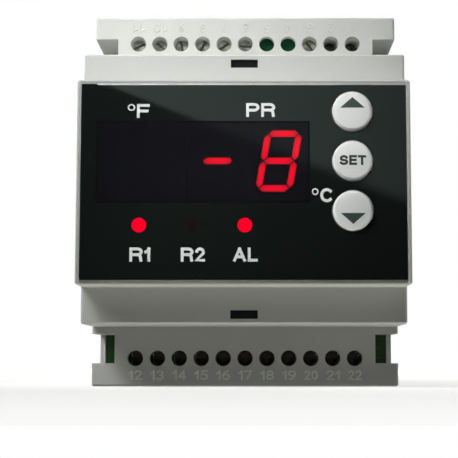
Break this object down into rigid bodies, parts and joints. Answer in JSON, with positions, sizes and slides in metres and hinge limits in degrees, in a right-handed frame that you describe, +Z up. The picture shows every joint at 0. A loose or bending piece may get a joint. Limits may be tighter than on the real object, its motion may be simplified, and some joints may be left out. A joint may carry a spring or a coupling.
{
  "type": "temperature controller",
  "caption": "Stepped grey case for a top-hat rail with a glossy black front, a red digit display, round keys and screw terminals along both ends; reads and controls a temperature.",
  "frame": {"origin": "middle of the rail's front face, where the case seats on the rail", "axes": "+X along the rail, to the right of someone facing the front; +Z up; the front looks along -Y"},
  "size_m": [0.071, 0.061, 0.0874],
  "materials": {
    "case_plastic": "fine moulded matt, light grey",
    "clip_plastic": "moulded matt, mid grey",
    "front_sheet": "glossy black sheet",
    "smoked_window": "smoked clear plastic",
    "digit_plastic": "black face with lit red segments",
    "lamp_plastic": "tinted red plastic",
    "key_plastic": "moulded satin, light grey",
    "switch_plastic": "black moulded plastic",
    "plunger_plastic": "white moulded plastic",
    "circuit_board": "green lacquered laminate",
    "chip_plastic": "black moulded package",
    "pin_strip": "black strip with plated pins",
    "core_steel": "varnished steel laminations",
    "winding_copper": "varnished copper winding",
    "can_sleeve": "dark shrink sleeve",
    "relay_plastic": "blue moulded case",
    "terminal_plastic": "green moulded plastic",
    "clamp_metal": "nickel-plated steel"
  },
  "bodies": {
    "case": {"base_housing": "case_plastic", "front_cover": "case_plastic", "front_frame": "case_plastic", "front_overlay": "front_sheet", "display_lens": "smoked_window", "digit_left": "digit_plastic", "digit_middle": "digit_plastic", "digit_right": "digit_plastic", "indicator_left": "lamp_plastic", "indicator_middle": "lamp_plastic", "indicator_right": "lamp_plastic", "switch_up": "switch_plastic", "switch_set": "switch_plastic", "switch_down": "switch_plastic", "main_board": "circuit_board", "display_board": "circuit_board", "microcontroller": "chip_plastic", "bridge_rectifier": "chip_plastic", "voltage_regulator": "chip_plastic", "board_link": "pin_strip", "transformer_core": "core_steel", "transformer_winding": "winding_copper", "reservoir_capacitor": "can_sleeve", "smoothing_capacitor": "can_sleeve", "relay_upper": "relay_plastic", "relay_middle": "relay_plastic", "relay_lower": "relay_plastic", "terminal_block_top_left": "terminal_plastic", "terminal_block_top_right": "terminal_plastic", "terminal_block_bottom": "terminal_plastic", "clamp_cages": "clamp_metal", "terminal_screws": "clamp_metal"},
    "key_up": {"key_up": "key_plastic", "plunger_up": "plunger_plastic"},
    "key_set": {"key_set": "key_plastic", "plunger_set": "plunger_plastic"},
    "key_down": {"key_down": "key_plastic", "plunger_down": "plunger_plastic"},
    "rail_clip": {"rail_clip": "clip_plastic"}
  },
  "joints": [
    {"name": "key_up_press", "type": "slide", "parent": "case", "child": "key_up", "axis": [0, 1, 0], "range_m": [0, 0.0005], "stiffness_N_per_m": 1500, "springref_m": -0.0005},
    {"name": "key_set_press", "type": "slide", "parent": "case", "child": "key_set", "axis": [0, 1, 0], "range_m": [0, 0.0005], "stiffness_N_per_m": 1500, "springref_m": -0.0005},
    {"name": "key_down_press", "type": "slide", "parent": "case", "child": "key_down", "axis": [0, 1, 0], "range_m": [0, 0.0005], "stiffness_N_per_m": 1500, "springref_m": -0.0005},
    {"name": "rail_clip_pull", "type": "slide", "parent": "case", "child": "rail_clip", "axis": [0, 0, -1], "range_m": [0, 0.004], "stiffness_N_per_m": 2000, "springref_m": -0.001}
  ]
}
